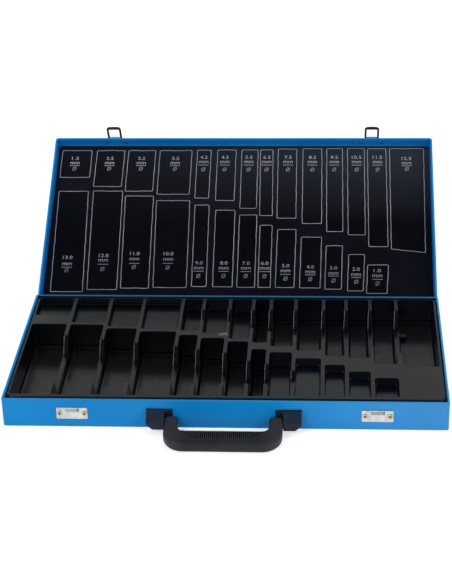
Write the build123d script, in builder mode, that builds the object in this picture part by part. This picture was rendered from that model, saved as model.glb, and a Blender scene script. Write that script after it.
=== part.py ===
from build123d import *
import math
import os

os.makedirs("parts", exist_ok=True)

# The case stands open: origin at the middle of the base's underside, +Z up, -Y towards
# the handle, +Y towards the hinges. Sizes are millimetres and degrees.

# Steel shells
case_width = 470.0
case_depth = 235.0
base_height = 34.0
lid_height = 14.5
sheet = 0.8
corner_radius = 2.5
bend_radius = 1.6
hem_width = 2.2
base_hem_drop = 7.0
lid_hem_drop = 5.0
hem_round = 0.5
corner_slit = 1.8
corner_slit_depth = 1.6
lid_open_angle = 149.7
rim_gap = 0.4

# Formed pocket tray
tray_wall = 1.0
tray_sink = 2.0
tray_side_gap = 0.8
tray_back_gap = 0.3
tray_front_gap = 5.8
tray_corner_radius = 8.0
tray_skirt_drop = 9.0
tray_skirt_round = 1.5
pocket_back_land = 2.2
pocket_front_land = 5.5
pocket_corner = 3.0
pocket_floor_round = 2.5
pocket_draft = 2.0
divider = 4.2
column_widths = [40.4, 37.8, 34.6, 41.0, 20.7, 26.2, 22.8, 16.2, 24.4, 27.7, 21.7, 23.2, 25.6, 40.9]
back_lengths = [42.0, 59.0, 67.5, 72.5, 76.0, 81.0, 94.0, 102.5, 110.5, 119.0, 130.5, 134.5, 147.5, 152.5]
front_lengths = [154.0, 153.0, 144.5, 138.0, 130.5, 124.0, 116.5, 99.5, 93.0, 80.0, 66.5, 52.5, 39.5]
shallow_back_depths = [9.0, 9.0, 9.0, 9.0, 15.0, 15.0, 18.0]
shallow_front_depths = [17.0, 9.5, 9.5, 9.5, 9.5]
dip_depth = 19.0
dip_floor_step = 1.5
dip_side_reach = 1.5
dip_post = 25.0
dip_ramp = 10.0
dip_round = 3.0
first_back_dip = 4
last_front_dip = 8

# Printed drill chart glued inside the lid
chart_thickness = 1.0
chart_margin = 2.7
chart_corner_radius = 4.0
chart_bead_width = 3.0
chart_bead_height = 0.6

# Butt hinges
hinge_side_inset = 85.0
hinge_length = 60.0
hinge_setback = 2.1
hinge_drop = 4.0
knuckle_radius = 1.8
knuckle_count = 5
knuckle_end_gap = 0.3
pin_radius = 1.0
pin_overhang = 0.8
pin_press_gap = 0.02
running_gap = 0.05
leaf_thickness = 1.0
leaf_knuckle_gap = 0.4
base_leaf_height = 15.5
lid_leaf_height = 16.5
leaf_corner = 2.0
stop_lip_thickness = 1.0
stop_lip_step = 0.25
stop_gap = 0.06
hinge_rivet_spacing = 44.0
base_hinge_rivet_drop = 12.0
lid_hinge_rivet_drop = 8.7

# Rivets and screws
rivet_radius = 1.6
rivet_head_radius = 2.6
rivet_head_height = 1.0
rivet_head_round = 0.5
rivet_tail_radius = 2.3
rivet_tail_height = 0.7
tube_rivet_bore = 1.1
screw_radius = 1.4
screw_head_radius = 2.8
screw_head_height = 1.4
screw_head_round = 0.6
fastener_gap = 0.05

# Snap hasps: keeper plates on the base, plates with swinging loops on the lid
latch_side_inset = 74.5
latch_rivet_spacing = 26.2
plate_width = 33.0
plate_thickness = 0.9
plate_corner = 1.0
keeper_height = 13.4
keeper_mid_z = 17.4
tongue_width = 12.3
tongue_side_gap = 0.35
tongue_root_step = 0.9
tongue_tip_step = 2.8
tongue_reach = 2.2
hasp_plate_top = 5.0
hasp_plate_height = 8.0
hasp_rivet_drop = 9.2
hasp_pivot_drop = 3.0
curl_radius = 1.8
curl_half_width = 6.0
loop_pin_radius = 1.0
loop_pin_inset = 4.0
loop_side_gap = 0.3
loop_leg_width = 2.5
loop_thickness = 1.2
loop_eye_radius = 1.5
loop_keeper_gap = 0.26
loop_bar_width = 2.0
loop_lip_length = 1.4
loop_lip_angle = 50.0
loop_corner = 2.6
loop_arch = 1.2

# Folding carrying handle
handle_width = 124.0
handle_arm_width = 14.5
handle_thickness = 12.8
handle_reach = 41.0
grip_width = 23.0
handle_outer_radius = 21.0
handle_inner_radius = 8.0
handle_edge_round = 4.0
handle_table_gap = 0.1
handle_pivot_out = 7.5
handle_pivot_z = 11.4
trunnion_radius = 3.0
trunnion_length = 5.4
trunnion_gap = 0.08
trunnion_end_gap = 0.4
bracket_width = 27.5
bracket_shelf_overlap = 8.0
bracket_bottom_z = 5.5
bracket_shoulder_z = 14.5
bracket_top_z = 23.8
bracket_depth = 13.2
bracket_top_depth = 3.0
bracket_shelf_thickness = 1.8
bracket_back_thickness = 0.6
bracket_cut_x = 6.5
bracket_cut_z = 6.0
bracket_round = 0.8
bracket_arm_gap = 0.3
bracket_screw_edge = 6.5
bracket_screw_heights = [10.0, 18.5]
bracket_screw_grip = 5.0
bracket_screw_end_gap = 0.3

# Directions of the open lid: along it from the hinge, and out of its rim
open_angle = math.radians(lid_open_angle)
along_lid = Vector(0, -math.cos(open_angle), math.sin(open_angle))
out_of_rim = Vector(0, -math.sin(open_angle), -math.cos(open_angle))
hinge_y = case_depth / 2 + hinge_setback
axis_drop = rim_gap / 2 + hinge_drop
hinge_z = base_height + rim_gap - axis_drop
lid_rim = Plane(origin=(0, hinge_y, hinge_z), x_dir=(1, 0, 0), z_dir=out_of_rim).offset(-axis_drop)
lid_top = lid_rim.offset(-lid_height)
lid_mid = hinge_setback + case_depth / 2

# Outer faces that the fittings stand on; each plane's z points away from the steel.
# Its y runs up the base's walls, down from the lid's rim in front and up to it behind.
base_front = Plane(origin=(0, -case_depth / 2, 0), x_dir=(1, 0, 0), z_dir=(0, -1, 0))
base_back = Plane(origin=(0, case_depth / 2, 0), x_dir=(-1, 0, 0), z_dir=(0, 1, 0))
lid_front_origin = lid_rim.from_local_coords((0, hinge_setback + case_depth, 0))
lid_back_origin = lid_rim.from_local_coords((0, hinge_setback, 0))
lid_front = Plane(origin=lid_front_origin, x_dir=(1, 0, 0), z_dir=along_lid)
lid_back = Plane(origin=lid_back_origin, x_dir=(1, 0, 0), z_dir=along_lid * -1)


def pairs(middle, spacing, height):
    """Four places at one height on a face: two about each of the middles left and right."""
    return [
        (side * middle + end * spacing / 2, height)
        for side in (-1, 1) for end in (-1, 1)]


hinge_x = case_width / 2 - hinge_side_inset
latch_x = case_width / 2 - latch_side_inset
bracket_inner_x = handle_width / 2 - bracket_shelf_overlap
bracket_screw_x = bracket_inner_x + bracket_width - bracket_screw_edge
keeper_rivet_places = pairs(latch_x, latch_rivet_spacing, keeper_mid_z)
hasp_rivet_places = pairs(latch_x, latch_rivet_spacing, hasp_rivet_drop)
base_hinge_rivet_places = pairs(hinge_x, hinge_rivet_spacing, base_height - base_hinge_rivet_drop)
lid_hinge_rivet_places = pairs(hinge_x, hinge_rivet_spacing, -lid_hinge_rivet_drop)
bracket_screw_places = [
    (side * bracket_screw_x, height) for side in (-1, 1) for height in bracket_screw_heights]


def side_plane(x):
    """Plane across the case at x, whose own x and y run along the frame's Y and Z."""
    return Plane.YZ.offset(x)


def pan(bottom, mid_y, height, hem_drop, holes):
    """Drawn sheet pan that opens along the plane's z, with a hem folded in round its rim."""
    up = Axis(bottom.origin, bottom.z_dir)
    with BuildPart() as body:
        with BuildSketch(bottom):
            with Locations((0, mid_y)):
                RectangleRounded(case_width, case_depth, corner_radius)
        extrude(amount=height)
        fillet(body.faces().sort_by(up)[0].edges(), bend_radius)
        with BuildSketch(bottom.offset(sheet)):
            with Locations((0, mid_y)):
                RectangleRounded(case_width - 2 * sheet, case_depth - 2 * sheet, corner_radius - sheet)
        extrude(amount=height - hem_drop - sheet, mode=Mode.SUBTRACT)
        with BuildSketch(bottom.offset(height - hem_drop)):
            with Locations((0, mid_y)):
                Rectangle(case_width - 2 * hem_width, case_depth - 2 * hem_width)
        extrude(amount=hem_drop, mode=Mode.SUBTRACT)
        fillet(body.faces().sort_by(up)[-1].edges(), hem_round)
        with BuildSketch(bottom.offset(height)):
            with Locations((0, mid_y)):
                with GridLocations(case_width - corner_slit, case_depth - corner_slit, 2, 2):
                    Rectangle(corner_slit, corner_slit)
        extrude(amount=-corner_slit_depth, mode=Mode.SUBTRACT)
        for face, places, radius in holes:
            with BuildSketch(face):
                with Locations(*places):
                    Circle(radius + fastener_gap)
            extrude(amount=-hem_width, mode=Mode.SUBTRACT)
    return body.part


# Base shell
base_shell = pan(Plane.XY, 0, base_height, base_hem_drop, [
    (base_front, keeper_rivet_places, rivet_radius),
    (base_front, bracket_screw_places, screw_radius),
    (base_back, base_hinge_rivet_places, rivet_radius)])
base_shell.label = "base_shell"
export_step(base_shell, "parts/base_shell.step")

# Lid shell, standing open on its hinge axis
lid_shell = pan(lid_top, lid_mid, lid_height, lid_hem_drop, [
    (lid_front, hasp_rivet_places, rivet_radius),
    (lid_back, lid_hinge_rivet_places, rivet_radius)])
lid_shell.label = "lid_shell"
export_step(lid_shell, "parts/lid_shell.step")

# Printed chart sheet on the lid's inner face, with a low pressed bead round its edge
chart_width = case_width - 2 * (sheet + chart_margin)
chart_length = case_depth - 2 * (sheet + chart_margin)
with BuildPart() as chart_sheet:
    with BuildSketch(lid_top.offset(sheet)):
        with Locations((0, lid_mid)):
            RectangleRounded(chart_width, chart_length, chart_corner_radius)
    extrude(amount=chart_thickness + chart_bead_height)
    with BuildSketch(lid_top.offset(sheet + chart_thickness)):
        with Locations((0, lid_mid)):
            Rectangle(chart_width - 2 * chart_bead_width, chart_length - 2 * chart_bead_width)
    extrude(amount=chart_bead_height, mode=Mode.SUBTRACT)
chart_sheet.part.label = "chart_sheet"
export_step(chart_sheet.part, "parts/chart_sheet.step")

# Tray: one formed sheet with a flange, a turned-down skirt and a hanging cup for each drill size
tray_top = base_height - tray_sink
deep_pocket = tray_top - sheet - tray_wall
tray_width = case_width - 2 * (hem_width + tray_side_gap)
tray_back_y = case_depth / 2 - hem_width - tray_back_gap
tray_front_y = hem_width + tray_front_gap - case_depth / 2
tray_length = tray_back_y - tray_front_y
tray_mid_y = (tray_back_y + tray_front_y) / 2
back_row_y = tray_back_y - pocket_back_land
front_row_y = tray_front_y + pocket_front_land
column_count = len(column_widths)
block_width = sum(column_widths) + divider * (column_count - 1)
column_left = [
    sum(column_widths[:index]) + divider * index - block_width / 2 for index in range(column_count)]
back_depths = shallow_back_depths + [deep_pocket] * (column_count - len(shallow_back_depths))
front_depths = [deep_pocket] * (len(front_lengths) - len(shallow_front_depths)) + shallow_front_depths
tray_face = Plane.XY.offset(tray_top)


def pocket_cup(left, width, mid_y, length, depth, grow):
    """One drill pocket as a drafted cup with a round floor edge; grow makes its outer skin."""
    with BuildPart() as cup:
        with BuildSketch(tray_face):
            with Locations((left + width / 2, mid_y)):
                RectangleRounded(width + 2 * grow, length + 2 * grow, pocket_corner + grow)
        extrude(amount=-(depth + grow), taper=pocket_draft)
        fillet(cup.faces().sort_by(Axis.Z)[0].edges(), pocket_floor_round + grow)
    return cup.part


def finger_dip(left, low_y, high_y, depth, grow):
    """Dip across a divider with sloped ends, between two pockets; grow makes its outer skin."""
    ramp = dip_ramp * depth / dip_depth
    floor_z = tray_top - depth - grow
    with BuildPart() as dip:
        with BuildSketch(side_plane(left - dip_side_reach)):
            with BuildLine():
                Polyline(
                    (low_y - grow, tray_top), (high_y + grow, tray_top),
                    (high_y + grow - ramp, floor_z), (low_y - grow + ramp, floor_z), close=True)
            make_face()
        extrude(amount=divider + 2 * dip_side_reach)
        fillet(dip.faces().sort_by(Axis.Z)[0].edges().filter_by(Axis.X), dip_round)
    return dip.part


def row_cups(row_y, inward, lengths, depths, grow):
    """All pockets of one row; inward is the way they run from the row's shared edge."""
    return [
        pocket_cup(left, width, row_y + inward * length / 2, length, depth, grow)
        for left, width, length, depth in zip(column_left, column_widths, lengths, depths)]


def row_dips(row_y, inward, lengths, depths, first, last, grow):
    """Finger dips of one row, in the dividers right of the columns from first to last."""
    dips = []
    for column in range(first, last + 1):
        length = min(lengths[column:column + 2])
        depth = min(dip_depth, min(depths[column:column + 2]) - dip_floor_step)
        ends = sorted([row_y + inward * dip_post, row_y + inward * (length - dip_post)])
        left = column_left[column] + column_widths[column]
        dips.append(finger_dip(left, ends[0], ends[1], depth, grow))
    return dips


def tray_forms(grow):
    """Every pocket and finger dip of the tray, as hollows or, grown, as their outer skins."""
    back = row_cups(back_row_y, -1, back_lengths, back_depths, grow)
    front = row_cups(front_row_y, 1, front_lengths, front_depths, grow)
    back_dips = row_dips(
        back_row_y, -1, back_lengths, back_depths, first_back_dip, column_count - 2, grow)
    front_dips = row_dips(front_row_y, 1, front_lengths, front_depths, 0, last_front_dip, grow)
    return back + front + back_dips + front_dips


tray_skins = tray_forms(tray_wall)
tray_hollows = tray_forms(0)
with BuildPart() as tray_insert:
    with BuildSketch(tray_face):
        with Locations((0, tray_mid_y)):
            RectangleRounded(tray_width, tray_length, tray_corner_radius)
    extrude(amount=-tray_skirt_drop)
    fillet(tray_insert.faces().sort_by(Axis.Z)[-1].edges(), tray_skirt_round)
    with BuildSketch(tray_face.offset(-tray_wall)):
        with Locations((0, tray_mid_y)):
            RectangleRounded(
                tray_width - 2 * tray_wall, tray_length - 2 * tray_wall, tray_corner_radius - tray_wall)
    extrude(amount=-tray_skirt_drop, mode=Mode.SUBTRACT)
    add(tray_skins)
    add(tray_hollows, mode=Mode.SUBTRACT)
tray_insert.part.label = "tray_insert"
export_step(tray_insert.part, "parts/tray_insert.step")

# Hinges: two rolled leaves on one pin; the base leaf's lips stop the lid when it is open
knuckle_pitch = hinge_length / knuckle_count
knuckle_width = knuckle_pitch - knuckle_end_gap
leaf_drop = knuckle_radius + leaf_knuckle_gap
base_knuckles = range(0, knuckle_count, 2)
lid_knuckles = range(1, knuckle_count, 2)
lip_top_z = hinge_z - leaf_drop - stop_lip_step
lip_end_y = hinge_y + (
    hinge_setback - leaf_thickness - stop_gap + (hinge_z - lip_top_z) * along_lid.Z) / along_lid.Y


def knuckle_x(mid_x, index):
    """Middle of a knuckle along the hinge."""
    return mid_x + (index + 0.5) * knuckle_pitch - hinge_length / 2


def hinge_leaf(face, axis_height, mid_x, height, knuckles, bore, rivet_places, lips):
    """Leaf flat on an outer face, with necks to its own knuckles and lips at the others."""
    across = face.x_dir.X
    plate_top = axis_height - leaf_drop
    with BuildPart() as leaf:
        with BuildSketch(face):
            with Locations((across * mid_x, plate_top)):
                Rectangle(hinge_length, height - leaf_drop, align=(Align.CENTER, Align.MAX))
            fillet(vertices().group_by(Axis.Y)[0], leaf_corner)
            with Locations(*[(across * knuckle_x(mid_x, index), plate_top) for index in knuckles]):
                Rectangle(knuckle_width, 2 * leaf_drop - leaf_knuckle_gap)
        extrude(amount=leaf_thickness)
        for index in knuckles:
            with BuildSketch(side_plane(knuckle_x(mid_x, index) - knuckle_width / 2)):
                with Locations((hinge_y, hinge_z)):
                    Circle(knuckle_radius)
            extrude(amount=knuckle_width)
        for index in lips:
            with BuildSketch(Plane.XY.offset(lip_top_z)):
                with Locations((knuckle_x(mid_x, index), case_depth / 2)):
                    Rectangle(knuckle_width, lip_end_y - case_depth / 2, align=(Align.CENTER, Align.MIN))
            extrude(amount=-stop_lip_thickness)
        with BuildSketch(side_plane(mid_x - hinge_length / 2)):
            with Locations((hinge_y, hinge_z)):
                Circle(bore)
        extrude(amount=hinge_length, mode=Mode.SUBTRACT)
        with BuildSketch(face):
            with Locations(*rivet_places):
                Circle(rivet_radius + fastener_gap)
        extrude(amount=leaf_thickness, mode=Mode.SUBTRACT)
    return leaf.part


def hinge_pin(mid_x):
    """Plain pin through every knuckle, standing a little out at both ends."""
    with BuildPart() as pin:
        with BuildSketch(side_plane(mid_x - hinge_length / 2 - pin_overhang)):
            with Locations((hinge_y, hinge_z)):
                Circle(pin_radius)
        extrude(amount=hinge_length + 2 * pin_overhang)
    return pin.part


for name, side in (("left", -1), ("right", 1)):
    base_leaf = hinge_leaf(
        base_back, hinge_z, side * hinge_x, base_leaf_height, base_knuckles,
        pin_radius + pin_press_gap, base_hinge_rivet_places, lid_knuckles)
    base_leaf.label = f"hinge_{name}_base_leaf"
    export_step(base_leaf, f"parts/{base_leaf.label}.step")
    lid_leaf = hinge_leaf(
        lid_back, axis_drop, side * hinge_x, lid_leaf_height, lid_knuckles,
        pin_radius + running_gap, lid_hinge_rivet_places, [])
    lid_leaf.label = f"hinge_{name}_lid_leaf"
    export_step(lid_leaf, f"parts/{lid_leaf.label}.step")
    pin = hinge_pin(side * hinge_x)
    pin.label = f"hinge_{name}_pin"
    export_step(pin, f"parts/{pin.label}.step")


def rivets(face, places, cover, bore):
    """Rivets through a cover and the shell: round heads outside, set tails inside."""
    length = cover + sheet + rivet_tail_height
    with BuildPart() as group:
        with BuildSketch(face.offset(cover)):
            with Locations(*places):
                Circle(rivet_head_radius)
        extrude(amount=rivet_head_height)
        fillet(group.edges().group_by(Axis(face.origin, face.z_dir))[-1], rivet_head_round)
        with BuildSketch(face.offset(cover)):
            with Locations(*places):
                Circle(rivet_radius)
        extrude(amount=-length)
        with BuildSketch(face.offset(-sheet)):
            with Locations(*places):
                Circle(rivet_tail_radius)
        extrude(amount=-rivet_tail_height)
        if bore > 0:
            with BuildSketch(face.offset(cover + rivet_head_height)):
                with Locations(*places):
                    Circle(bore)
            extrude(amount=-(length + rivet_head_height), mode=Mode.SUBTRACT)
    return group.part


rivet_groups = [
    ("base_hinge_rivets", base_back, base_hinge_rivet_places, leaf_thickness, 0),
    ("lid_hinge_rivets", lid_back, lid_hinge_rivet_places, leaf_thickness, 0),
    ("keeper_rivets", base_front, keeper_rivet_places, plate_thickness, tube_rivet_bore),
    ("hasp_rivets", lid_front, hasp_rivet_places, plate_thickness, tube_rivet_bore)]
for name, face, places, cover, bore in rivet_groups:
    group = rivets(face, places, cover, bore)
    group.label = name
    export_step(group, f"parts/{name}.step")

# Keeper plates, each with a tongue lanced out of it that the hasp's bar snaps under
front_y = -case_depth / 2
keeper_top_z = keeper_mid_z + keeper_height / 2
tongue_root_z = keeper_top_z - tongue_root_step
tongue_tip_z = tongue_root_z - tongue_tip_step
tongue_slope = math.atan2(tongue_reach, tongue_tip_step)
tongue_inner_drop = plate_thickness * math.sin(tongue_slope)
tongue_inner_back = plate_thickness * math.cos(tongue_slope)
tongue_tip_out = plate_thickness + tongue_reach


def keeper(mid_x):
    """Nickelled keeper plate with its lanced tongue and the slot behind it."""
    with BuildPart() as plate:
        with BuildSketch(base_front):
            with Locations((mid_x, keeper_mid_z)):
                RectangleRounded(plate_width, keeper_height, plate_corner)
            with Locations((mid_x, tongue_root_z)):
                Rectangle(
                    tongue_width + 2 * tongue_side_gap, tongue_tip_step + tongue_inner_drop,
                    align=(Align.CENTER, Align.MAX), mode=Mode.SUBTRACT)
            with Locations(*keeper_rivet_places):
                Circle(rivet_radius + fastener_gap, mode=Mode.SUBTRACT)
        extrude(amount=plate_thickness)
        with BuildSketch(side_plane(mid_x - tongue_width / 2)):
            with BuildLine():
                Polyline(
                    (front_y, keeper_top_z), (front_y - plate_thickness, keeper_top_z),
                    (front_y - plate_thickness, tongue_root_z),
                    (front_y - tongue_tip_out, tongue_tip_z),
                    (front_y - tongue_tip_out + tongue_inner_back, tongue_tip_z - tongue_inner_drop),
                    (front_y - plate_thickness + tongue_inner_back, tongue_root_z - tongue_inner_drop),
                    (front_y, tongue_root_z), close=True)
            make_face()
        extrude(amount=tongue_width)
    return plate.part


# Hasp plates on the lid, curled round the loops' stub pins
hasp_pivot = lid_front.from_local_coords((0, hasp_pivot_drop, curl_radius))
pivot_place = (hasp_pivot.Y, hasp_pivot.Z)


def hasp_plate(mid_x):
    """Plate on the lid's front wall, its middle tongue curled into a bore for the loop."""
    with BuildPart() as plate:
        with BuildSketch(lid_front):
            with Locations((mid_x, hasp_plate_top + hasp_plate_height / 2)):
                RectangleRounded(plate_width, hasp_plate_height, plate_corner)
            with Locations((mid_x, hasp_pivot_drop)):
                Rectangle(
                    2 * curl_half_width, hasp_plate_top - hasp_pivot_drop + plate_corner,
                    align=(Align.CENTER, Align.MIN))
            with Locations(*hasp_rivet_places):
                Circle(rivet_radius + fastener_gap, mode=Mode.SUBTRACT)
        extrude(amount=plate_thickness)
        with BuildSketch(side_plane(mid_x - curl_half_width)):
            with Locations(pivot_place):
                Circle(curl_radius)
        extrude(amount=2 * curl_half_width)
        with BuildSketch(side_plane(mid_x - curl_half_width)):
            with Locations(pivot_place):
                Circle(loop_pin_radius + running_gap)
        extrude(amount=2 * curl_half_width, mode=Mode.SUBTRACT)
    return plate.part


# Hasp loops: the bar clears the tongue's tip as it swings, and hooks under it when shut
shut_pivot_z = base_height + rim_gap + hasp_pivot_drop
tongue_tip_radius = math.hypot(
    shut_pivot_z - tongue_tip_z + tongue_inner_drop, tongue_tip_out - tongue_inner_back - curl_radius)
loop_window = tongue_tip_radius + loop_keeper_gap
loop_bend = loop_window + loop_bar_width
loop_tip = loop_bend + loop_lip_length * math.cos(math.radians(loop_lip_angle))
loop_tip_out = loop_lip_length * math.sin(math.radians(loop_lip_angle))
loop_crown = loop_tip + loop_thickness / 4
loop_inner_half = tongue_width / 2 + loop_side_gap
loop_half = loop_inner_half + loop_leg_width
loop_section = Plane(origin=hasp_pivot, x_dir=out_of_rim, z_dir=(1, 0, 0))
loop_flat = Plane(origin=hasp_pivot, x_dir=(1, 0, 0), z_dir=along_lid * -1)


def hasp_loop(mid_x):
    """Stamped loop: two legs with stub pins turned into the curl, a bar and a flared lip."""
    with BuildPart() as loop:
        with BuildSketch(loop_section.offset(mid_x - loop_half)):
            with BuildLine():
                Polyline((0, 0), (loop_bend, 0), (loop_tip, -loop_tip_out))
                offset(amount=loop_thickness / 2)
            make_face()
        extrude(amount=2 * loop_half)
        with BuildSketch(loop_flat.offset(-loop_tip_out - loop_thickness)):
            with BuildLine():
                Polyline(
                    (mid_x - loop_half, loop_crown - loop_arch), (mid_x - loop_half, -loop_thickness),
                    (mid_x + loop_half, -loop_thickness), (mid_x + loop_half, loop_crown - loop_arch))
                ThreePointArc(
                    (mid_x + loop_half, loop_crown - loop_arch), (mid_x, loop_crown),
                    (mid_x - loop_half, loop_crown - loop_arch))
            make_face()
            fillet(vertices().group_by(Axis.Y)[-1], loop_corner)
        extrude(amount=loop_tip_out + 2 * loop_thickness, mode=Mode.INTERSECT)
        with BuildSketch(loop_flat.offset(-loop_thickness)):
            with Locations((mid_x, -loop_thickness)):
                Rectangle(
                    2 * loop_inner_half, loop_window + loop_thickness, align=(Align.CENTER, Align.MIN))
        extrude(amount=2 * loop_thickness, mode=Mode.SUBTRACT)
        for side in (-1, 1):
            with BuildSketch(side_plane(mid_x + side * loop_inner_half)):
                with Locations(pivot_place):
                    Circle(loop_eye_radius)
            extrude(amount=side * loop_leg_width)
            with BuildSketch(side_plane(mid_x + side * loop_inner_half)):
                with Locations(pivot_place):
                    Circle(loop_pin_radius)
            extrude(amount=-side * loop_pin_inset)
    return loop.part


for name, side in (("left", -1), ("right", 1)):
    keeper_plate = keeper(side * latch_x)
    keeper_plate.label = f"keeper_plate_{name}"
    export_step(keeper_plate, f"parts/{keeper_plate.label}.step")
    lid_plate = hasp_plate(side * latch_x)
    lid_plate.label = f"hasp_plate_{name}"
    export_step(lid_plate, f"parts/{lid_plate.label}.step")
    loop = hasp_loop(side * latch_x)
    loop.label = f"hasp_loop_{name}"
    export_step(loop, f"parts/{loop.label}.step")

# Handle: droops from its brackets until the grip lies on the table
handle_pivot_y = -case_depth / 2 - handle_pivot_out
handle_pivot_place = (handle_pivot_y, handle_pivot_z)
contact_reach = handle_reach - handle_edge_round
contact_drop = handle_thickness / 2 - handle_edge_round
contact_fall = handle_pivot_z - handle_edge_round - handle_table_gap
droop = math.asin(contact_fall / math.hypot(contact_reach, contact_drop)) - math.atan2(
    contact_drop, contact_reach)
handle_plane = Plane(
    origin=(0, handle_pivot_y, handle_pivot_z), x_dir=(1, 0, 0), z_dir=(0, math.sin(droop), -math.cos(droop)))


def arm_eye(side):
    """Round end of one handle arm with its stub axle."""
    with BuildPart() as eye:
        with BuildSketch(side_plane(side * (handle_width / 2 - handle_arm_width))):
            with Locations(handle_pivot_place):
                Circle(handle_thickness / 2)
        extrude(amount=side * handle_arm_width)
        fillet(eye.edges().filter_by(GeomType.CIRCLE), handle_edge_round)
        with BuildSketch(side_plane(side * handle_width / 2)):
            with Locations(handle_pivot_place):
                Circle(trunnion_radius)
        extrude(amount=side * trunnion_length)
    return eye.part


arm_eyes = [arm_eye(side) for side in (-1, 1)]
with BuildPart() as handle:
    with BuildSketch(handle_plane.offset(-handle_thickness / 2)):
        RectangleRounded(handle_width, 2 * handle_reach, handle_outer_radius)
        RectangleRounded(
            handle_width - 2 * handle_arm_width, 2 * (handle_reach - grip_width), handle_inner_radius,
            mode=Mode.SUBTRACT)
        Rectangle(handle_width, handle_reach, align=(Align.CENTER, Align.MAX), mode=Mode.SUBTRACT)
    extrude(amount=handle_thickness)
    long_edges = handle.faces().filter_by(handle_plane).edges().filter_by(
        lambda edge: handle_plane.to_local_coords(edge.center()).Y > handle_edge_round / 2)
    fillet(long_edges, handle_edge_round)
    add(arm_eyes)
handle.part.label = "handle"
export_step(handle.part, "parts/handle.step")


def bracket(side):
    """Wedge block that holds one handle end, with a thin shelf over the arm's round end."""
    block_x = handle_width / 2 + bracket_arm_gap
    outer_x = bracket_inner_x + bracket_width
    with BuildPart() as block:
        with BuildSketch(side_plane(side * block_x)):
            with BuildLine():
                Polyline(
                    (front_y, bracket_bottom_z), (front_y - bracket_depth, bracket_bottom_z),
                    (front_y - bracket_depth, bracket_shoulder_z),
                    (front_y - bracket_top_depth, bracket_top_z), (front_y, bracket_top_z), close=True)
            make_face()
        extrude(amount=side * (outer_x - block_x))
        with BuildSketch(base_front):
            with BuildLine():
                Polyline(
                    (side * outer_x, bracket_bottom_z),
                    (side * outer_x, bracket_bottom_z + bracket_cut_z),
                    (side * (outer_x - bracket_cut_x), bracket_bottom_z), close=True)
            make_face()
        extrude(amount=bracket_depth, mode=Mode.SUBTRACT)
        fillet(block.edges().filter_by(
            lambda edge: edge.center().Y < front_y - bracket_top_depth / 2), bracket_round)
        with BuildSketch(side_plane(side * bracket_inner_x)):
            with BuildLine():
                Polyline(
                    (front_y, bracket_bottom_z), (front_y - bracket_back_thickness, bracket_bottom_z),
                    (front_y - bracket_back_thickness, bracket_top_z - bracket_shelf_thickness),
                    (front_y - bracket_top_depth, bracket_top_z - bracket_shelf_thickness),
                    (front_y - bracket_top_depth, bracket_top_z), (front_y, bracket_top_z), close=True)
            make_face()
        extrude(amount=side * (block_x + bracket_round - bracket_inner_x))
        with BuildSketch(side_plane(side * block_x)):
            with Locations(handle_pivot_place):
                Circle(trunnion_radius + trunnion_gap)
        extrude(
            amount=side * (trunnion_length - bracket_arm_gap + trunnion_end_gap), mode=Mode.SUBTRACT)
        with BuildSketch(base_front):
            with Locations(*bracket_screw_places):
                Circle(screw_radius + fastener_gap)
        extrude(amount=bracket_screw_grip + bracket_screw_end_gap, mode=Mode.SUBTRACT)
    return block.part


for name, side in (("left", -1), ("right", 1)):
    block = bracket(side)
    block.label = f"handle_bracket_{name}"
    export_step(block, f"parts/{block.label}.step")

# Bracket screws, driven from inside the base through its front wall
with BuildPart() as bracket_screws:
    with BuildSketch(base_front.offset(-sheet)):
        with Locations(*bracket_screw_places):
            Circle(screw_head_radius)
    extrude(amount=-screw_head_height)
    fillet(bracket_screws.edges().group_by(Axis.Y)[-1], screw_head_round)
    with BuildSketch(base_front.offset(-sheet)):
        with Locations(*bracket_screw_places):
            Circle(screw_radius)
    extrude(amount=sheet + bracket_screw_grip)
bracket_screws.part.label = "bracket_screws"
export_step(bracket_screws.part, "parts/bracket_screws.step")
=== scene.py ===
import math
import random

import bmesh
import bpy
from mathutils import Matrix, Vector


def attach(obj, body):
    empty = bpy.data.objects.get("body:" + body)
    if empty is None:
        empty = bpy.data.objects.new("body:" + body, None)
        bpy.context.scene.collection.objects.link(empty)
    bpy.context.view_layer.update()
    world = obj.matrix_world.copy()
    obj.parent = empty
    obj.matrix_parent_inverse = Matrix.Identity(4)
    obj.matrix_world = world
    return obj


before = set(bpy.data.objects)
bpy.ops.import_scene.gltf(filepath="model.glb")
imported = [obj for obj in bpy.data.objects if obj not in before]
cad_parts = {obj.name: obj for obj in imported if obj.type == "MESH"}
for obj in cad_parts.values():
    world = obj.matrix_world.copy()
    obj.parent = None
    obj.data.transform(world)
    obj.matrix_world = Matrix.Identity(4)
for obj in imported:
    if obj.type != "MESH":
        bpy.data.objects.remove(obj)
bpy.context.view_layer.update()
MM = 0.001

# Camera fitted to the case's corners; the picture is 452 x 584
FOCAL_PX = 1658.6
IMAGE_LONG_SIDE = 584
SENSOR = 36.0
CAMERA_PLACE = Vector((111.7, -1592.3, 939.5)) * MM
CAMERA_YAW, CAMERA_PITCH, CAMERA_ROLL = (math.radians(v) for v in (-4.11, 27.724, -1.584))
ahead = Vector((
    math.sin(CAMERA_YAW) * math.cos(CAMERA_PITCH),
    math.cos(CAMERA_YAW) * math.cos(CAMERA_PITCH),
    -math.sin(CAMERA_PITCH)))
level = Vector((math.cos(CAMERA_YAW), -math.sin(CAMERA_YAW), 0))
above = level.cross(ahead)
right = math.cos(CAMERA_ROLL) * level + math.sin(CAMERA_ROLL) * above
up = -math.sin(CAMERA_ROLL) * level + math.cos(CAMERA_ROLL) * above
facing = Matrix((right, up, -ahead)).transposed().to_4x4()
camera = bpy.data.objects.new("camera", bpy.data.cameras.new("camera"))
bpy.context.scene.collection.objects.link(camera)
camera.data.sensor_width = SENSOR
camera.data.lens = FOCAL_PX / IMAGE_LONG_SIDE * SENSOR
camera.data.clip_start = 0.05
camera.data.clip_end = 60.0
camera.matrix_world = Matrix.Translation(CAMERA_PLACE) @ facing
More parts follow.
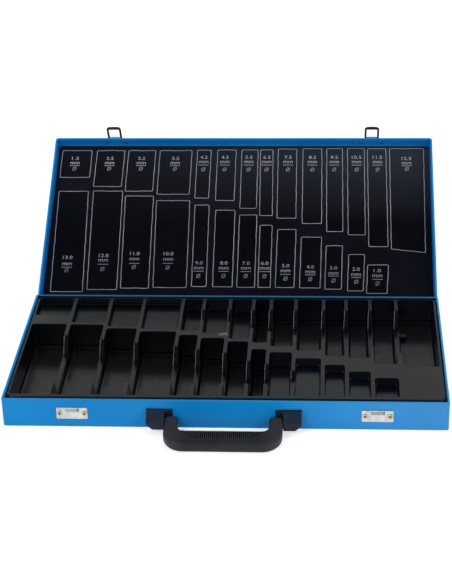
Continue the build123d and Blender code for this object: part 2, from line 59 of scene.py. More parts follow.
bpy.context.scene.camera = camera
bpy.context.scene.view_settings.view_transform = "Standard"


# Shader building blocks
def linear(red, green, blue):
    """Linear colour from the 0-255 values seen in a picture."""
    values = [v / 255 for v in (red, green, blue)]
    return tuple(v / 12.92 if v <= 0.04045 else ((v + 0.055) / 1.055) ** 2.4 for v in values) + (1.0,)


class Nodes:
    """A node tree whose nodes are made by short calls."""

    def __init__(self, tree):
        self.tree = tree

    def add(self, kind, inputs=None, **settings):
        node = self.tree.nodes.new(kind)
        for key, value in settings.items():
            setattr(node, key, value)
        for key, value in (inputs or {}).items():
            if isinstance(value, bpy.types.NodeSocket):
                self.tree.links.new(value, node.inputs[key])
            else:
                node.inputs[key].default_value = value
        return node

    def vector_math(self, operation, first, second=(0.0, 0.0, 0.0)):
        return self.add("ShaderNodeVectorMath", {0: first, 1: second}, operation=operation)

    def parts(self, vector):
        """The x, y and z parts of a vector."""
        split = self.add("ShaderNodeSeparateXYZ", {0: vector})
        return split.outputs["X"], split.outputs["Y"], split.outputs["Z"]

    def math(self, operation, first, *others):
        """One operation, taken over all the values in turn."""
        if not others:
            return self.add("ShaderNodeMath", {0: first}, operation=operation).outputs["Value"]
        for other in others:
            first = self.add("ShaderNodeMath", {0: first, 1: other}, operation=operation).outputs["Value"]
        return first

    def span(self, value, low, high, to_low, to_high):
        """A value between low and high, brought to between two others."""
        node = self.add("ShaderNodeMapRange", {
            "Value": value, "From Min": low, "From Max": high, "To Min": to_low, "To Max": to_high})
        return node.outputs["Result"]

    def rise(self, value, low, high, most=1.0):
        """0 below low, rising to most above high."""
        return self.span(value, low, high, 0.0, most)

    def fall(self, value, low, high, most=1.0):
        """Most below low, falling to 0 above high."""
        return self.span(value, low, high, most, 0.0)

    def inside(self, value, low, high, soft):
        """1 between two bounds of a value, fading over a soft edge."""
        above_low = self.rise(value, low - soft, low + soft)
        below_high = self.fall(value, high - soft, high + soft)
        return self.math("MULTIPLY", above_low, below_high)


class Shade(Nodes):
    """A material with one principled shader."""

    # Most of a noise's values lie between these
    NOISE_LOW, NOISE_HIGH = 0.3, 0.7

    def __init__(self, name, **sockets):
        self.material = bpy.data.materials.new(name)
        self.material.use_nodes = True
        super().__init__(self.material.node_tree)
        self.shader = self.tree.nodes["Principled BSDF"]
        self.place = self.add("ShaderNodeTexCoord").outputs["Object"]
        for key, value in sockets.items():
            self.shader.inputs[key.replace("_", " ")].default_value = value

    def set(self, socket, value):
        self.tree.links.new(value, self.shader.inputs[socket])

    def places(self):
        """The x, y and z of a place in the shared frame, in millimetres."""
        return self.parts(self.vector_math("MULTIPLY", self.place, (1 / MM, 1 / MM, 1 / MM)).outputs[0])

    def distance(self, centre, squash=(1.0, 1.0, 1.0)):
        """Distance from a place, squashed along each axis, all in millimetres."""
        offset = self.vector_math("SUBTRACT", self.place, Vector(centre) * MM)
        grown = self.vector_math("MULTIPLY", offset.outputs[0], Vector(squash) / MM)
        return self.vector_math("LENGTH", grown.outputs[0]).outputs["Value"]

    def stretched(self, factors):
        """The object's coordinates, scaled along each axis."""
        return self.add("ShaderNodeMapping", {"Vector": self.place, "Scale": factors}).outputs["Vector"]

    def noise(self, scale, detail=3.0, rough=0.55, place=None):
        node = self.add("ShaderNodeTexNoise", {
            "Vector": place or self.place, "Scale": scale, "Detail": detail, "Roughness": rough})
        return node.outputs["Fac"]

    def uneven(self, noise, low, high):
        """A noise brought to between two values."""
        return self.span(noise, self.NOISE_LOW, self.NOISE_HIGH, low, high)

    def mix(self, factor, first, second):
        node = self.add("ShaderNodeMix", {"Factor": factor, 6: first, 7: second}, data_type="RGBA")
        return node.outputs[2]

    def rounded(self, radius):
        """Normal with every sharp edge rounded over, in millimetres."""
        return self.add("ShaderNodeBevel", {"Radius": radius * MM}, samples=4).outputs["Normal"]

    def bump(self, height, depth, strength, below=None):
        """Relief of a depth in millimetres, over a normal or another relief."""
        node = self.add("ShaderNodeBump", {"Height": height, "Distance": depth * MM, "Strength": strength})
        if below is not None:
            self.tree.links.new(below, node.inputs["Normal"])
        self.set("Normal", node.outputs["Normal"])
        return node.outputs["Normal"]


# Places and reaches that the finishes follow, in millimetres of the shared frame
BASE_FRONT_Y, BASE_BACK_Y = -117.5, 117.5
BASE_RIM_Z = 34.0
TRAY_TOP_Z, SHALLOW_FLOOR_Z, DEEP_FLOOR_Z = 32.0, 23.0, 1.8
SCUFF_PLACE = (-9.0, 29.0, TRAY_TOP_Z)
KEEPER_X = 160.5
KEEPER_RIVET_REACH, KEEPER_RIVET_Z = 13.1, 17.4
TONGUE_END_REACH = 6.7
TONGUE_LOW_Z, TONGUE_HIGH_Z = 19.5, 23.3
# Reach of the chart's painted reflection, paler towards its upper right
REFLECTION_LOW_Z, REFLECTION_HIGH_Z = 75, 140
REFLECTION_LEFT_X, REFLECTION_RIGHT_X = -180, 200
UPPER_PRINT_FROM_Z, UPPER_PRINT_TO_Z = 85, 115
GRIP_END_X, ARM_X = 38, 52
RIB_PITCH = 2.0
COMB_FRONT_Y, COMB_BACK_Y = -157.2, -138.0
COMB_HALF_WIDTH = 41.5
COMB_TAPER_Y = -145.5
keeper_rivets = [
    (side * KEEPER_X + end * KEEPER_RIVET_REACH, BASE_FRONT_Y, KEEPER_RIVET_Z)
    for side in (-1, 1) for end in (-1, 1)]

# Specular levels, and the pale colour of painted glints on edges and of strong print
ENAMEL_GLOSS, ENAMEL_GLOSS_RIGHT = 0.2, 0.62
TRAY_GLOSS, TRAY_GLOSS_DULL = 0.52, 0.1
GRAIN_GLOSS = 0.22
GLINT_AND_PRINT_WHITE = linear(206, 212, 226)


def folded_rim(shade, colour):
    """Painted shade in the seam inside the base's back rim, a greyer rim top, and more gloss to the right.
    """
    x, y, z = shade.places()
    shade.set("Specular IOR Level", shade.span(x, 50, 200, ENAMEL_GLOSS, ENAMEL_GLOSS_RIGHT))
    # The seam inside the back rim is darkened as painted shade; the rim's top edge is painted greyer
    seam = shade.math(
        "MULTIPLY", shade.inside(y, BASE_BACK_Y - 2.5, BASE_BACK_Y - 1.4, 0.3),
        shade.inside(z, BASE_RIM_Z - 4.0, BASE_RIM_Z - 0.7, 0.5))
    edge = shade.math(
        "MULTIPLY", shade.inside(y, BASE_BACK_Y - 2.3, BASE_BACK_Y - 0.5, 0.3),
        shade.rise(z, BASE_RIM_Z - 0.9, BASE_RIM_Z - 0.4, 0.75))
    colour = shade.mix(seam, colour, linear(6, 22, 40))
    return shade.mix(edge, colour, linear(50, 80, 108))


def enamel(name, dark, pale, rim=False):
    """Blue stoved enamel on thin sheet: faint orange peel, wavy; rim adds the base's folded edge."""
    shade = Shade(name, IOR=1.5, Specular_IOR_Level=ENAMEL_GLOSS)
    colour = shade.mix(shade.rise(shade.noise(9.0, 2.0), 0.35, 0.65), dark, pale)
    colour = shade.mix(shade.rise(shade.noise(420.0, 2.0), 0.3, 0.8, 0.25), colour, linear(26, 152, 226))
    if rim:
        colour = folded_rim(shade, colour)
    shade.set("Base Color", colour)
    shade.set("Roughness", shade.uneven(shade.noise(60.0), 0.26, 0.36))
    waves = shade.bump(shade.noise(14.0, 1.0), 0.6, 0.5)
    shade.bump(shade.noise(700.0, 1.0), 0.03, 0.6, waves)
    return shade.material


def tray_scuff(shade):
    """Ragged scuff on the tray's top, between the two rows."""
    near = shade.distance(SCUFF_PLACE, (1.0, 1.6, 1.0))
    ragged = shade.math("ADD", near, shade.uneven(shade.noise(420.0), -4.0, 4.0))
    return shade.fall(ragged, 2.5, 6.5, 0.75)


def tray_slopes(shade, z, rounded):
    """The finger dips' sloped ends, painted darker as shade, and on them the rounded edges that lean to the
    left, painted pale as glints.
    """
    facing_x, _, facing_z = shade.parts(shade.add("ShaderNodeTexCoord").outputs["Normal"])
    sideways = shade.math("ABSOLUTE", facing_x)
    leaning_x = shade.parts(rounded)[0]
    slope = shade.math(
        "MULTIPLY", shade.inside(facing_z, 0.15, 0.98, 0.02), shade.fall(sideways, 0.25, 0.35),
        shade.inside(z, DEEP_FLOOR_Z + 2.2, TRAY_TOP_Z - 0.8, 0.3))
    edge = shade.math(
        "MULTIPLY", slope, shade.fall(leaning_x, -0.28, -0.12), shade.fall(sideways, 0.03, 0.08))
    return slope, edge


def tray_bends(shade, x, y, z):
    """The bends above the deep pockets' floors, and above the shallow ones' at the back left wall."""
    deep = shade.inside(z, DEEP_FLOOR_Z + 0.5, DEEP_FLOOR_Z + 4.1, 0.2)
    shallow = shade.math(
        "MULTIPLY", shade.inside(z, SHALLOW_FLOOR_Z + 0.4, SHALLOW_FLOOR_Z + 3.2, 0.3),
        shade.fall(x, -60, -55), shade.rise(y, BASE_BACK_Y - 19.5, BASE_BACK_Y - 17.5))
    return shade.math("MAXIMUM", deep, shallow)


def formed_plastic():
    """Black formed sheet: satin skin, fine grain, drawn streaks, a pale scuff, and painted shade, glints
    and floor light.
    """
    shade = Shade("tray_plastic", IOR=1.48, Specular_IOR_Level=TRAY_GLOSS)
    x, y, z = shade.places()
    rounded = shade.rounded(0.8)
    slope, edge = tray_slopes(shade, z, rounded)
    streak = shade.noise(55.0, 2.0, place=shade.stretched((1.0, 0.12, 0.4)))
    walls = shade.inside(z, DEEP_FLOOR_Z + 1.2, TRAY_TOP_Z - 3.0, 0.8)
    wall_shade_tint = shade.mix(shade.rise(x, -30, 60), linear(2, 4, 8), linear(4, 9, 25))
    deep_floor_light = shade.fall(z, DEEP_FLOOR_Z + 0.2, DEEP_FLOOR_Z + 0.8, 0.8)
    colour = shade.mix(shade.rise(shade.noise(16.0), 0.35, 0.7), linear(5, 6, 10), linear(9, 10, 14))
    colour = shade.mix(shade.rise(streak, 0.55, 0.8, 0.4), colour, linear(16, 18, 24))
    colour = shade.mix(tray_scuff(shade), colour, linear(120, 118, 116))
    # Pocket walls painted darker as shade, and bluer towards the right
    colour = shade.mix(walls, colour, wall_shade_tint)
    # Painted shade: the dips' sloped ends are darkened
    colour = shade.mix(slope, colour, linear(4, 6, 12))
    # Painted glints: the dips' rounded left-leaning edges are painted near white
    colour = shade.mix(edge, colour, GLINT_AND_PRINT_WHITE)
    # Painted light: the deep pockets' floors are painted paler
    shade.set("Base Color", shade.mix(deep_floor_light, colour, linear(23, 24, 27)))
    dull = shade.math("MAXIMUM", slope, tray_bends(shade, x, y, z))
    shade.set("Specular IOR Level", shade.span(dull, 0.0, 1.0, TRAY_GLOSS, TRAY_GLOSS_DULL))
    shade.set("Roughness", shade.uneven(shade.noise(130.0), 0.17, 0.26))
    soft = shade.bump(shade.noise(24.0, 1.0), 0.8, 0.3, rounded)
    shade.bump(shade.noise(2200.0, 2.0), 0.04, 0.5, soft)
    return shade.material


def chart_print(name, dark, pale, gloss):
    """Near-black print with fine pale specks, and a painted reflection that makes it paler towards the
    upper right.
    """
    shade = Shade(name, IOR=1.45, Specular_IOR_Level=gloss)
    x, _, z = shade.places()
    speck = shade.noise(1500.0, 2.0, 0.7)
    # Painted reflection: a soft paler band towards the upper right
    painted_reflection = shade.math(
        "MULTIPLY", shade.rise(z, REFLECTION_LOW_Z, REFLECTION_HIGH_Z),
        shade.span(x, REFLECTION_LEFT_X, REFLECTION_RIGHT_X, 0.2, 0.9))
    colour = shade.mix(shade.rise(shade.noise(11.0), 0.35, 0.68), dark, pale)
    colour = shade.mix(painted_reflection, colour, linear(53, 57, 67))
    colour = shade.mix(shade.rise(speck, 0.56, 0.76, 0.6), colour, linear(40, 42, 50))
    shade.set("Base Color", colour)
    shade.set("Roughness", shade.uneven(shade.noise(90.0), 0.44, 0.56))
    shade.bump(speck, 0.05, 0.5)
    return shade.material


def chart_ink(name, dark, pale, upper_gain):
    """Grey-white screen print, thin and slightly broken up, stronger in the chart's upper part."""
    shade = Shade(name, IOR=1.4)
    worn = shade.noise(900.0, 2.0, 0.6)
    gain = shade.rise(shade.places()[2], UPPER_PRINT_FROM_Z, UPPER_PRINT_TO_Z, upper_gain)
    colour = shade.mix(shade.rise(shade.noise(38.0, 2.0), 0.35, 0.65), dark, pale)
    colour = shade.mix(gain, colour, GLINT_AND_PRINT_WHITE)
    colour = shade.mix(shade.rise(worn, 0.5, 0.75, 0.45), colour, linear(70, 74, 92))
    shade.set("Base Color", colour)
    shade.set("Roughness", shade.uneven(worn, 0.5, 0.65))
    return shade.material


def grip_comb(shade, colour):
    """Paler arms beside the grip, and painted shade in the dull gaps between the ribs of its comb."""
    x, y, _ = shade.places()
    away = shade.math("ABSOLUTE", x)
    phase = shade.math("FRACT", shade.math("MULTIPLY", x, 1 / RIB_PITCH))
    gap = shade.rise(shade.math("ABSOLUTE", shade.math("SUBTRACT", phase, 0.5)), 0.12, 0.2)
    beyond_taper = shade.math("MAXIMUM", shade.math("SUBTRACT", COMB_TAPER_Y, y), 0.0)
    # Painted shade: the gaps between the ribs are made near black
    gap_shade = shade.math(
        "MULTIPLY", gap, shade.inside(y, COMB_FRONT_Y, COMB_BACK_Y, 0.4),
        shade.fall(shade.math("ADD", away, beyond_taper), COMB_HALF_WIDTH - 0.4, COMB_HALF_WIDTH + 0.4))
    shade.set("Specular IOR Level", shade.span(gap_shade, 0.0, 1.0, GRAIN_GLOSS, 0.0))
    colour = shade.mix(shade.rise(away, GRIP_END_X, ARM_X, 0.8), colour, linear(52, 53, 57))
    return shade.mix(gap_shade, colour, linear(1, 2, 4))


def grained_plastic(name, dark, pale, grain, comb=False):
    """Moulded black plastic with a fine spark-eroded grain; comb adds the grip's paler arms and painted gap
    shade.
    """
    shade = Shade(name, IOR=1.48, Specular_IOR_Level=GRAIN_GLOSS)
    fine = shade.noise(2600.0, 2.0)
    colour = shade.mix(shade.rise(shade.noise(70.0), 0.3, 0.7), dark, pale)
    colour = shade.mix(shade.rise(fine, 0.5, 0.8, 0.3), colour, linear(52, 51, 50))
    if comb:
        colour = grip_comb(shade, colour)
    shade.set("Base Color", colour)
    shade.set("Roughness", shade.uneven(shade.noise(300.0), grain, grain + 0.1))
    soft = shade.bump(shade.noise(120.0, 2.0), 0.3, 0.3)
    shade.bump(fine, 0.06, 0.7, soft)
    return shade.material


def lanced_tongue(shade, colour):
    """The keeper's tongue, warmer and less metallic, and painted shade as a dark line at its right end."""
    x, y, z = shade.places()
    proud = shade.fall(y, BASE_FRONT_Y - 1.1, BASE_FRONT_Y - 1.0)
    shade.set("Metallic", shade.span(proud, 0.0, 1.0, 1.0, 0.2))
    ends = [side * KEEPER_X + TONGUE_END_REACH for side in (-1, 1)]
    beside = shade.math("MAXIMUM", *(shade.inside(x, end - 0.5, end + 0.5, 0.2) for end in ends))
    # Painted shade: a dark line beside the tongue's right end
    slot_shade = shade.math("MULTIPLY", beside, shade.inside(z, TONGUE_LOW_Z, TONGUE_HIGH_Z, 0.2))
    colour = shade.mix(proud, colour, linear(186, 174, 166))
    return shade.mix(slot_shade, colour, linear(24, 22, 22))


def rivet_rings(shade, colour, stain, cloud):
    """Stained ragged rings round the keepers' rivets."""
    for rivet in keeper_rivets:
        near = shade.math("ADD", shade.distance(rivet), shade.uneven(cloud, -0.6, 0.6))
        colour = shade.mix(shade.fall(near, 1.8, 4.2, 0.85), colour, stain)
    return colour


def plated(name, dark, pale, rough, stain=None, lanced=False):
    """Nickelled sheet with drawing lines and a cloudy tone; stain and lanced add a keeper's marks."""
    shade = Shade(name, Metallic=1.0)
    lines = shade.noise(900.0, 2.0, place=shade.stretched((0.05, 1.0, 1.0)))
    cloud = shade.noise(140.0)
    colour = shade.mix(shade.rise(cloud, 0.35, 0.65), dark, pale)
    if stain:
        colour = rivet_rings(shade, colour, stain, cloud)
    if lanced:
        colour = lanced_tongue(shade, colour)
    shade.set("Base Color", colour)
    shade.set("Roughness", shade.uneven(lines, rough, rough + 0.14))
    shade.bump(lines, 0.02, 0.4)
    return shade.material


lid_blue = enamel("lid_enamel", linear(6, 130, 208), linear(10, 141, 218))
# The base's enamel is a slightly paler copy of the lid's, as painted light
base_blue = enamel("base_enamel", linear(6, 135, 211), linear(10, 147, 221), rim=True)
tray_black = formed_plastic()
chart_ground = chart_print("chart_ground", linear(9, 10, 19), linear(13, 14, 26), 0.08)
chart_panel = chart_print("chart_panel", linear(4, 5, 11), linear(7, 8, 17), 0.06)
ink = chart_ink("chart_ink", linear(152, 155, 165), linear(184, 187, 197), 0.1)
letter_ink = chart_ink("letter_ink", linear(128, 132, 148), linear(160, 164, 180), 0.4)
handle_black = grained_plastic("handle_plastic", linear(32, 33, 35), linear(42, 42, 43), 0.46, comb=True)
bracket_black = grained_plastic("bracket_plastic", linear(16, 30, 46), linear(24, 42, 60), 0.42)
# The rest's top takes a paler copy of the plastic, as painted light
rest_top_lit = grained_plastic("rest_plastic_lit", linear(42, 43, 46), linear(54, 54, 58), 0.46)
# The grip's ribs take a paler copy of the handle's plastic, as painted light on them
rib_lit_plastic = grained_plastic("rib_plastic_lit", linear(58, 60, 64), linear(72, 74, 78), 0.40)
keeper_steel = plated(
    "keeper_steel", linear(184, 187, 184), linear(208, 212, 209), 0.34,
    stain=linear(206, 178, 138), lanced=True)
rivet_steel = plated(
    "rivet_steel", linear(186, 176, 158), linear(212, 205, 192), 0.32, stain=linear(184, 150, 104))
hinge_steel = plated("hinge_steel", linear(178, 180, 182), linear(206, 208, 209), 0.30)
# The hasp loops take a darker copy of the plated steel, as painted shade
shaded_steel = plated("shaded_steel", linear(52, 50, 44), linear(74, 70, 60), 0.36)

finishes = {
    "base_shell": base_blue, "lid_shell": lid_blue, "tray_insert": tray_black,
    "chart_sheet": chart_ground, "handle": handle_black,
    "handle_bracket_left": bracket_black, "handle_bracket_right": bracket_black,
    "keeper_plate_left": keeper_steel, "keeper_plate_right": keeper_steel, "keeper_rivets": rivet_steel,
    "hasp_loop_left": shaded_steel, "hasp_loop_right": shaded_steel}
for name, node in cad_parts.items():
    finish = finishes.get(name, hinge_steel)
    if not node.data.materials:
        node.data.materials.append(finish)
    for slot in range(len(node.data.materials)):
        node.data.materials[slot] = finish

# The lid's own directions at rest: across, along from the hinge, and out of the rim
HINGE = Vector((0, 119.6, 30.2))
OPEN_ANGLE = math.radians(149.7)
ALONG_LID = Vector((0, -math.cos(OPEN_ANGLE), math.sin(OPEN_ANGLE)))
OUT_OF_RIM = Vector((0, -math.sin(OPEN_ANGLE), -math.cos(OPEN_ANGLE)))
CHART_FACE = -16.9
CHART_HALF_WIDTH = 227.9
CHART_LOW, CHART_HIGH = 9.2, 230.0


def on_lid(x, s, height=0.0):
    """Place on the chart's face, height above it, in metres."""
    across = Vector((x, 0, 0))
    return (HINGE + across + ALONG_LID * s + OUT_OF_RIM * (CHART_FACE + height)) * MM


# How a place measured on the flat lid moves to the chart's face: stretch, shear, keystone and shift
STRETCH_X, SHEAR_X, KEYSTONE_X, SHIFT_X = 1.00056, -0.0021, -2.237e-5, -1.473
STRETCH_S, SHEAR_S, KEYSTONE_S, SHIFT_S = 0.99716, 0.00048, -2.223e-5, 9.38


def chart_point(x, s):
    """A measured chart place brought onto the chart's own face."""
    moved_x = STRETCH_X * x + SHEAR_X * s + KEYSTONE_X * x * s + SHIFT_X
    moved_s = STRETCH_S * s + SHEAR_S * x + KEYSTONE_S * s * s + SHIFT_S
    return (
        max(-CHART_HALF_WIDTH, min(CHART_HALF_WIDTH, moved_x)),
        max(CHART_LOW, min(CHART_HIGH, moved_s)))


def add_piece(name, vertices, faces, finish, body, smooth=False):
    """A mesh piece from its corners, with its finish, riding on a body."""
    mesh = bpy.data.meshes.new(name)
    mesh.from_pydata([tuple(v) for v in vertices], [], faces)
    work = bmesh.new()
    work.from_mesh(mesh)
    bmesh.ops.remove_doubles(work, verts=work.verts, dist=1e-7)
    bmesh.ops.recalc_face_normals(work, faces=work.faces)
    for face in work.faces:
        face.smooth = smooth
    work.to_mesh(mesh)
    work.free()
    mesh.materials.append(finish)
    piece = bpy.data.objects.new(name, mesh)
    bpy.context.scene.collection.objects.link(piece)
    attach(piece, body)
    return piece


# Printed outlines: a thin raised line round a darker panel for every pocket
INK_WIDTH = 0.6
INK_HEIGHT = 0.07
PANEL_HEIGHT = 0.03
OUTLINE_ROUND = 1.4
OUTLINE_WAVE = 0.16
WAVE_STEP = 3.5
BEND_STEPS = 5


def outline_path(corners, seed):
    """Closed wavy path through four corners with rounded bends, as (x, s) points."""
    chance = random.Random(seed)
    phase = [chance.uniform(0, 6.28) for _ in range(3)]
    points = []
    for index, corner in enumerate(corners):
        here = Vector(corner)
        goal = Vector(corners[(index + 1) % 4])
        before = (Vector(corners[index - 1]) - here).normalized()
        after = (goal - here).normalized()
        bend = OUTLINE_ROUND * chance.uniform(0.6, 1.3)
        start, end = here + before * bend, here + after * bend
        for step in range(BEND_STEPS + 1):
            t = step / BEND_STEPS
            points.append((1 - t) ** 2 * start + 2 * t * (1 - t) * here + t * t * end)
        length = (goal - here).length - 2 * OUTLINE_ROUND
        side = Vector((-after.y, after.x))
        count = max(2, int(length / WAVE_STEP))
        for step in range(1, count):
            t = (bend + length * step / count) / (goal - here).length
            sway = OUTLINE_WAVE * (
                math.sin(step * 0.9 + phase[0] + index) + 0.6 * math.sin(step * 2.1 + phase[1])
                + 0.4 * chance.uniform(-1, 1))
            points.append(here + (goal - here) * t + side * sway)
    return points


def ring_faces(points, vertices, faces):
    """Adds a thin raised ring of ink along a closed path."""
    count = len(points)
    start = len(vertices)
    for index, point in enumerate(points):
        along = (points[(index + 1) % count] - points[index - 1]).normalized()
        side = Vector((-along.y, along.x)) * INK_WIDTH / 2
        for offset, lift in ((-1, 0.0), (-1, INK_HEIGHT), (1, INK_HEIGHT), (1, 0.0)):
            spot = point + side * offset
            vertices.append(on_lid(spot.x, spot.y, lift))
    for index in range(count):
        a, b = start + index * 4, start + (index + 1) % count * 4
        for corner in range(3):
            faces.append((a + corner, a + corner + 1, b + corner + 1, b + corner))


def panel_block(points, vertices, faces):
    """Adds a low flat block inside a closed path."""
    count = len(points)
    start = len(vertices)
    for lift in (PANEL_HEIGHT, 0.0):
        vertices += [on_lid(point.x, point.y, lift) for point in points]
    faces.append(tuple(range(start, start + count)))
    for index in range(count):
        a, b = start + index, start + (index + 1) % count
        faces.append((a, b, b + count, a + count))


# Outlines in millimetres from the lid's middle and its hinge; the loop below names their columns
upper = [
    ("1.5", -226.0, -188.5, 219.0, 177.0, -226.0, -188.5),
    ("2.5", -181.9, -146.9, 219.0, 163.0, -182.5, -147.5),
    ("3.2", -142.0, -107.8, 219.0, 156.0, -142.4, -108.2),
    ("3.5", -102.3, -62.0, 219.0, 151.3, -102.5, -62.3),
    ("4.2", -55.0, -37.8, 219.6, 145.6, -55.2, -38.0),
    ("4.5", -29.4, -6.3, 220.0, 142.0, -29.6, -6.5),
    ("5.5", 1.0, 21.3, 220.0, 130.3, 1.0, 21.3),
    ("6.5", 24.4, 40.0, 220.0, 119.4, 25.6, 41.0),
    ("7.5", 46.6, 69.8, 221.5, 115.6, 46.8, 69.8),
    ("8.5", 77.5, 101.2, 222.0, 107.8, 77.5, 101.2),
    ("9.5", 107.3, 126.9, 222.0, 96.0, 107.3, 126.9),
    ("10.5", 133.1, 154.0, 222.3, 91.3, 133.3, 154.0),
    ("11.5", 158.1, 181.0, 222.0, 74.4, 158.0, 181.0),
    ("12.5", 185.6, 227.8, 222.0, 68.5, 184.8, 225.4)]
lower = [
    ("13.0", -224.8, -188.1, 155.6, 8.0, -221.6, -183.1),
    ("12.0", -181.9, -145.4, 156.0, 11.3, -177.9, -142.3),
    ("11.0", -141.3, -106.5, 148.5, 13.5, -137.9, -104.4),
    ("10.0", -102.3, -61.0, 141.6, 14.6, -99.0, -59.4),
    ("9.0", -54.4, -36.9, 135.0, 16.3, -53.1, -35.6),
    ("8.0", -28.5, -4.8, 127.3, 16.0, -28.0, -4.6),
    ("7.0", 1.0, 22.3, 120.3, 15.6, 1.0, 22.0),
    ("6.0", 26.5, 41.3, 105.0, 15.4, 26.0, 40.6),
    ("5.0", 47.9, 70.4, 99.0, 15.6, 46.6, 68.8),
    ("4.0", 76.9, 101.3, 87.8, 15.0, 75.3, 99.8),
    ("3.0", 106.9, 126.3, 75.3, 13.5, 105.3, 124.8),
    ("2.0", 133.8, 152.8, 62.8, 11.3, 131.9, 150.6),
    ("1.0", 156.3, 181.0, 48.0, 8.0, 154.4, 178.5)]
# The lower edge of this one falls to the right
SLANTED_SIZE, SLANT = "12.5", 5.0
FIRST_SEED = 100
line_vertices, line_faces, panel_vertices, panel_faces = [], [], [], []
for number, (size, left_top, right_top, top, bottom, left_low, right_low) in enumerate(upper + lower):
    slant = SLANT if size == SLANTED_SIZE else 0.0
    corners = [
        chart_point(left_top, top), chart_point(right_top, top),
        chart_point(right_low, bottom - slant / 2), chart_point(left_low, bottom + slant / 2)]
    path = outline_path(corners, FIRST_SEED + number)
    ring_faces(path, line_vertices, line_faces)
    panel_block(path, panel_vertices, panel_faces)
add_piece("chart_outlines", line_vertices, line_faces, ink, "lid")
add_piece("chart_panels", panel_vertices, panel_faces, chart_panel, "lid")

# Labels: the drill size, mm, a rule and a diameter sign
UPPER_NUMBER, UPPER_MM, UPPER_RULE, UPPER_SIGN = 208.5, 201.0, 196.3, 189.5
# Middles of the upper row's labels, and how far each sits below the row's own height
upper_label_x = [
    -208.8, -165.0, -125.0, -82.3, -46.5, -20.0, 10.0, 32.5, 59.0, 89.4, 116.6, 144.4, 170.3, 206.3]
upper_label_drop = [1.8, 1.8, 1.8, 1.8, 0, 0, 0, 0, 0, 0, 0, 0, 0, 1.8]
# Labels of the lower row: the middle, then the heights of size, mm, rule and sign
lower_labels = [
    (-205.0, 57.0, 47.5, 42.8, 38.5), (-161.5, 60.0, 53.0, 47.3, 40.6), (-123.8, 63.0, 55.0, 48.8, 43.5),
    (-83.0, 63.0, 54.6, 49.0, 43.0), (-45.6, 49.8, 42.3, 37.8, 31.3), (-15.6, 49.8, 42.3, 37.8, 31.3),
    (11.0, 49.8, 42.3, 37.8, 31.3), (33.5, 49.8, 42.3, 37.8, 31.3), (58.5, 46.3, 39.0, 34.0, 28.0),
    (88.0, 44.8, 37.5, 33.4, 27.3), (115.6, 43.5, 35.6, 31.9, 25.6), (142.5, 41.9, 34.0, 30.0, 24.0),
    (167.5, 40.0, 32.5, 27.5, 21.6)]
labels = [
    (size[0], x, UPPER_NUMBER - drop, UPPER_MM - drop, UPPER_RULE - 0.55 * drop, UPPER_SIGN + 0.6 * drop)
    for size, x, drop in zip(upper, upper_label_x, upper_label_drop)]
labels += [(size[0],) + places for size, places in zip(lower, lower_labels)]
DIGIT_WIDTH, DIGIT_HEIGHT = 2.95, 4.7
UNIT_WIDTH, UNIT_HEIGHT = 11.6, 3.5
RULE_WIDTH, RULE_HEIGHT = 12.4, 0.65
SIGN_INNER, SIGN_OUTER = (1.85, 2.3), (2.3, 2.75)
SLASH_WIDTH, SLASH_HEIGHT = 4.9, 5.9
SIGN_STEPS = 20
LETTER_GROWTH = 0.001
LETTER_THICKNESS = 0.05
letter_vertices, letter_faces = [], []
glyphs = {}


def glyph(text):
    """Flat letters of a text as 2-D points scaled to a box from 0 to 1, with their faces."""
    if text not in glyphs:
        curve = bpy.data.curves.new("glyph", "FONT")
        curve.body = text
        curve.size = 1.0
        curve.offset = LETTER_GROWTH
        curve.resolution_u = 3
        holder = bpy.data.objects.new("glyph", curve)
        mesh = bpy.data.meshes.new_from_object(holder)
        xs = [v.co.x for v in mesh.vertices]
        ys = [v.co.y for v in mesh.vertices]
        points = [
            ((x - min(xs)) / (max(xs) - min(xs)), (y - min(ys)) / (max(ys) - min(ys)))
            for x, y in zip(xs, ys)]
        glyphs[text] = (points, [tuple(p.vertices) for p in mesh.polygons])
        bpy.data.objects.remove(holder)
        bpy.data.meshes.remove(mesh)
        bpy.data.curves.remove(curve)
    return glyphs[text]


def lay(points, polygons, x, s, width, height):
    """Puts flat points onto the chart's face, centred on a place."""
    start = len(letter_vertices)
    for u, v in points:
        letter_vertices.append(on_lid(x + (u - 0.5) * width, s + (v - 0.5) * height, INK_HEIGHT))
    for polygon in polygons:
        letter_faces.append(tuple(start + index for index in polygon))


def diameter_sign(x, s):
    """Open ring with a slash through it."""
    start = len(letter_vertices)
    for index in range(SIGN_STEPS):
        turn = math.tau * index / SIGN_STEPS
        for wide, tall in (SIGN_INNER, SIGN_OUTER):
            letter_vertices.append(on_lid(x + wide * math.cos(turn), s + tall * math.sin(turn), INK_HEIGHT))
    for index in range(SIGN_STEPS):
        a, b = start + index * 2, start + (index + 1) % SIGN_STEPS * 2
        letter_faces.append((a, a + 1, b + 1, b))
    slash = [(0.0, 0.045), (0.06, 0.0), (1.0, 0.955), (0.94, 1.0)]
    lay(slash, [(0, 1, 2, 3)], x, s, SLASH_WIDTH, SLASH_HEIGHT)


for size, x, number_s, mm_s, rule_s, sign_s in labels:
    lay(*glyph(size), *chart_point(x, number_s), DIGIT_WIDTH * len(size), DIGIT_HEIGHT)
    lay(*glyph("mm"), *chart_point(x, mm_s), UNIT_WIDTH, UNIT_HEIGHT)
    rule = [(0, 0), (1, 0), (1, 1), (0, 1)]
    lay(rule, [(0, 1, 2, 3)], *chart_point(x, rule_s), RULE_WIDTH, RULE_HEIGHT)
    diameter_sign(*chart_point(x, sign_s))
letters = add_piece("chart_labels", letter_vertices, letter_faces, letter_ink, "lid")
thick = letters.modifiers.new("ink_thickness", "SOLIDIFY")
thick.thickness = LETTER_THICKNESS * MM
thick.offset = 0.0

